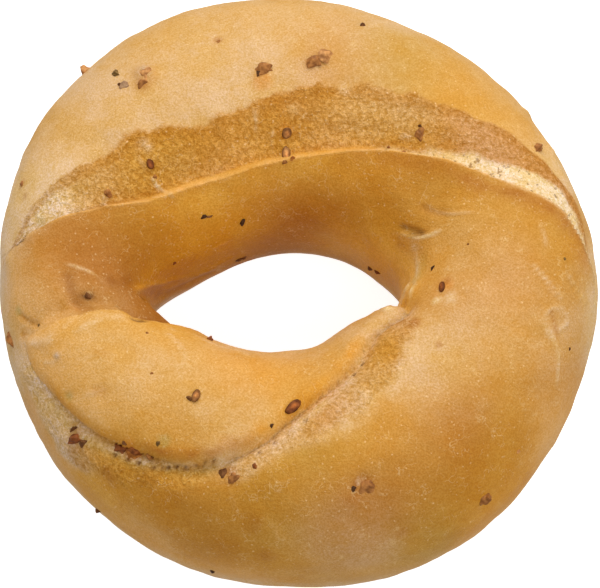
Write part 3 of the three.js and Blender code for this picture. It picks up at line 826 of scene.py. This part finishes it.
chipForm = {
    # (direction, distance mm) of each cut through a cube 1 mm wide
    "cuts": [((1, 0.6, 0.5), 0.36), ((-1, 0.3, 0.6), 0.34), ((0.2, -1, 0.7), 0.33), ((-0.5, 1, 0.4), 0.38)],
    "bevel": 0.09,
}
seedForm = {"faceAbove": 0.33, "rim": 0.06, "hollow": 0.12}  # mm, on a seed 1 mm wide


def modelChip():
    # an angular crumb: a cube with its corners cut off, bevelled and rounded
    bpy.ops.object.select_all(action="DESELECT")
    bpy.ops.mesh.primitive_cube_add(size=0.001)
    chip = startPiece("chip")
    bpy.ops.object.mode_set(mode="EDIT")
    for direction, reach in chipForm["cuts"]:
        bpy.ops.mesh.select_all(action="SELECT")
        away = Vector(direction).normalized()
        bpy.ops.mesh.bisect(plane_co=away * reach / 1000, plane_no=away, use_fill=True, clear_outer=True)
    bpy.ops.mesh.select_all(action="SELECT")
    bpy.ops.mesh.bevel(offset=chipForm["bevel"] / 1000, segments=1)
    bpy.ops.mesh.normals_make_consistent(inside=False)
    bpy.ops.object.mode_set(mode="OBJECT")
    rounding = chip.modifiers.new("rounding", "SUBSURF")
    rounding.levels = rounding.render_levels = 2
    bpy.ops.object.modifier_apply(modifier="rounding")
    return chip


def modelSeed():
    # a husked seed: an oval with a rolled rim and a sunken face
    bpy.ops.object.select_all(action="DESELECT")
    bpy.ops.mesh.primitive_uv_sphere_add(segments=20, ring_count=12, radius=0.0005)
    seed = startPiece("seed")
    bpy.ops.object.mode_set(mode="EDIT")
    bpy.ops.mesh.select_all(action="DESELECT")
    bpy.ops.object.mode_set(mode="OBJECT")
    for face in seed.data.polygons:
        face.select = face.center.z > seedForm["faceAbove"] / 1000
    bpy.ops.object.mode_set(mode="EDIT")
    bpy.ops.mesh.inset(thickness=seedForm["rim"] / 1000, depth=0)
    bpy.ops.transform.translate(value=(0, 0, -seedForm["hollow"] / 1000))
    bpy.ops.object.mode_set(mode="OBJECT")
    rounding = seed.modifiers.new("rounding", "SUBSURF")
    rounding.levels = rounding.render_levels = 1
    bpy.ops.object.modifier_apply(modifier="rounding")
    return seed


patternsOf = {"chip": modelChip(), "seed": modelSeed()}
crustNormals = np.empty(len(final) * 3)
bagel.data.vertices.foreach_get("normal", crustNormals)
crustNormals = crustNormals.reshape(-1, 3)


def bakeIn(number, shape, tone, a, o, length, width, rise, turn):
    pattern = patternsOf[shape]
    fleck = pattern.copy()
    fleck.data = pattern.data.copy()
    bpy.context.collection.objects.link(fleck)
    index = corners.find(ropePoint(a, o)[0])[1]
    up = Vector(crustNormals[index])
    side = Vector((math.cos(math.radians(turn)), math.sin(math.radians(turn)), 0))
    side = (side - side.dot(up) * up).normalized()
    frontwards = up.cross(side)
    co = np.empty(len(fleck.data.vertices) * 3)
    fleck.data.vertices.foreach_get("co", co)
    co = co.reshape(-1, 3)
    co = co / np.abs(co).max(0) / 2
    own = Vector((number * 7.3, 0, 0))  # so that no two flecks have the same lumps
    lumps = np.array([noise.noise(Vector(c) * fleckForm["lumpsAcross"] + own) for c in co])
    co = co * (1 + fleckForm["lumps"][shape] * lumps[:, None])
    co = co * (length, width, fleckForm["deepness"] * rise)
    co[:, 2] += fleckForm["lift"] * rise
    axes = np.array([side, frontwards, up])
    fleck.data.vertices.foreach_set("co", ((co @ axes + final[index]) / 1000).ravel())
    toneLayer = fleck.data.color_attributes.new("fleckTone", "FLOAT_COLOR", "POINT")
    baked = np.tile(toLinear(fleckTones[tone]), (len(co), 1))
    if shape == "seed":  # a pale face in a dark rim
        face = np.exp(-((co[:, 0] / length) ** 2 + (co[:, 1] / width) ** 2) / 0.07) * (co[:, 2] > 0.2 * rise)
        baked[:, :3] *= (0.55 + 1.3 * face)[:, None]
    toneLayer.data.foreach_set("color", baked.astype(np.float32).ravel())
    return fleck


onionFinish = {
    "charSize": 0.9,  # mm
    "charred": (0.6, 0.52, 0.45),
    "bare": (1.35, 1.4, 1.5),
    "bump": {"Strength": 0.5, "Distance": 0.0002},
    "roughness": 0.5,
    "specular": 0.15,
}


def toastedOnion():
    # dry onion, toasted in the oven: brown, brittle and a little glossy where its sugar ran
    material = bpy.data.materials.new("toastedOnion")
    material.use_nodes = True
    tree = material.node_tree
    shader = tree.nodes["Principled BSDF"]
    place = addNode(tree, "ShaderNodeTexCoord").outputs["Object"]
    tone = addNode(tree, "ShaderNodeAttribute", {"attribute_name": "fleckTone"}).outputs["Color"]
    settings = {"Scale": perMetre(onionFinish["charSize"]), "Detail": 3.0}
    char = addNode(tree, "ShaderNodeTexNoise", settings, {"Vector": place}).outputs["Fac"]
    share = addNode(tree, "ShaderNodeMapRange", {"From Min": 0.35, "From Max": 0.65}, {"Value": char})
    settings = {
        "data_type": "RGBA", mixFirst: (*onionFinish["charred"], 1), mixSecond: (*onionFinish["bare"], 1),
    }
    factor = addNode(tree, "ShaderNodeMix", settings, {mixShare: share.outputs["Result"]})
    settings = {"data_type": "RGBA", "blend_type": "MULTIPLY", mixShare: 1.0}
    links = {mixFirst: tone, mixSecond: factor.outputs[mixed]}
    colour = addNode(tree, "ShaderNodeMix", settings, links).outputs[mixed]
    tree.links.new(colour, shader.inputs["Base Color"])
    bump = addNode(tree, "ShaderNodeBump", onionFinish["bump"], {"Height": char})
    tree.links.new(bump.outputs["Normal"], shader.inputs["Normal"])
    shader.inputs["Roughness"].default_value = onionFinish["roughness"]
    shader.inputs["Specular IOR Level"].default_value = onionFinish["specular"]
    return material


fleckMaterial = toastedOnion()
for shape, name in (("chip", "toastedFlecks"), ("seed", "bakedSeeds")):
    made = [bakeIn(number, *fleck) for number, fleck in enumerate(flecks) if fleck[0] == shape]
    bpy.ops.object.select_all(action="DESELECT")
    for fleck in made:
        fleck.select_set(True)
    bpy.context.view_layer.objects.active = made[0]
    bpy.ops.object.join()
    joined = startPiece(name)
    bpy.ops.object.shade_smooth()
    joined.data.materials.append(fleckMaterial)
    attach(joined, "root")
    bpy.data.objects.remove(patternsOf[shape])
    print(name, len(made))

lightTable = {"size": 3.0, "colour": "#d0d0d0", "roughness": 0.8, "glow": 0.85}
bpy.ops.mesh.primitive_plane_add(size=lightTable["size"], location=(0, 0, 0))
floor = startPiece("lightTable")
opal = bpy.data.materials.new("opalGlass")  # lit from below, so that it shows no shadow
opal.use_nodes = True
shader = opal.node_tree.nodes["Principled BSDF"]
shader.inputs["Base Color"].default_value = toLinear(lightTable["colour"])
shader.inputs["Roughness"].default_value = lightTable["roughness"]
shader.inputs["Emission Color"].default_value = toLinear("#ffffff")
shader.inputs["Emission Strength"].default_value = lightTable["glow"]
floor.data.materials.append(opal)
floor.visible_diffuse = False  # the world's light stands in for its bounce
floor.visible_glossy = False
print("light table done")

softboxes = {
    "keySoftbox": {"place": (-0.1, 0.8, 0.8), "size": (1.0, 0.7), "power": 9.5},
    "fillSoftbox": {"place": (0.25, -0.6, 1.0), "size": (0.8, 0.6), "power": 3},
    "sideSoftbox": {"place": (1.0, 0.0, 0.55), "size": (0.6, 0.5), "power": 3},
}
for name, box in softboxes.items():
    bpy.ops.object.light_add(type="AREA", location=box["place"])
    light = bpy.context.object
    light.name = name
    light.data.shape = "RECTANGLE"
    light.data.size, light.data.size_y = box["size"]
    light.data.energy = box["power"]
    light.rotation_euler = (Vector((0, 0, 0.02)) - Vector(box["place"])).to_track_quat("-Z", "Y").to_euler()
whiteRoom = {"colour": "#ffffff", "strength": 0.52}
studio = bpy.data.worlds.new("studio")
studio.use_nodes = True
background = studio.node_tree.nodes["Background"]
background.inputs["Color"].default_value = toLinear(whiteRoom["colour"])
background.inputs["Strength"].default_value = whiteRoom["strength"]
bpy.context.scene.world = studio

view = {"elevation": 66, "distance": 0.62, "target": (0.33, -1.81, 17), "lens": 202.5}
target = Vector(view["target"]) / 1000
elevation = math.radians(view["elevation"])
eye = target + view["distance"] * Vector((0, -math.cos(elevation), math.sin(elevation)))
bpy.ops.object.camera_add(location=eye)
camera = bpy.context.object
camera.data.lens = view["lens"]
camera.data.sensor_width = 36
camera.data.clip_start = 0.01
camera.rotation_euler = (target - eye).to_track_quat("-Z", "Y").to_euler()
bpy.context.scene.camera = camera
bpy.context.scene.view_settings.view_transform = "Standard"
print("studio done")
